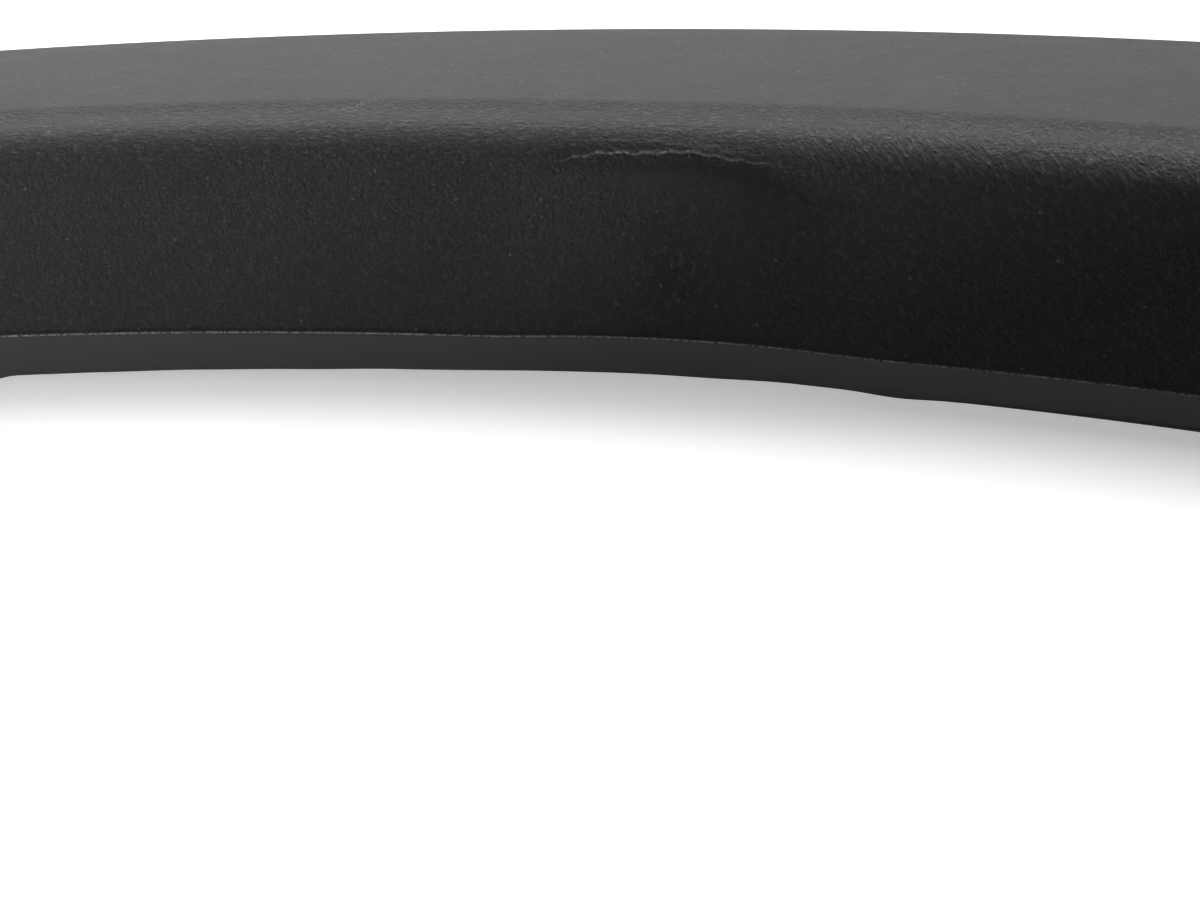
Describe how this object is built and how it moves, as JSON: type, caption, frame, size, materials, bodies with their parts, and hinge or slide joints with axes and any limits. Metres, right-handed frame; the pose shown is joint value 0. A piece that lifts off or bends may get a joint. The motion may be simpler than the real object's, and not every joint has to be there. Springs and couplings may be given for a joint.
{
  "type": "wheel arch trim",
  "caption": "Curved moulded plastic trim that caps the edge of a wheel opening, with a return lip, ribs and clip towers; its lip is dented.",
  "frame": {"origin": "middle of the box's base, in the plane of the body panel that the trim sits on", "axes": "+X along the arch from its front leg to its rear leg, +Y up towards the crown, +Z out of the body panel towards the trim's outer face"},
  "size_m": [0.973, 0.4389, 0.0349],
  "materials": {
    "grained_plastic": "unpainted black moulded plastic with a fine leather grain, slightly greyed"
  },
  "bodies": {
    "root": {"arch_trim": "grained_plastic"}
  },
  "joints": []
}
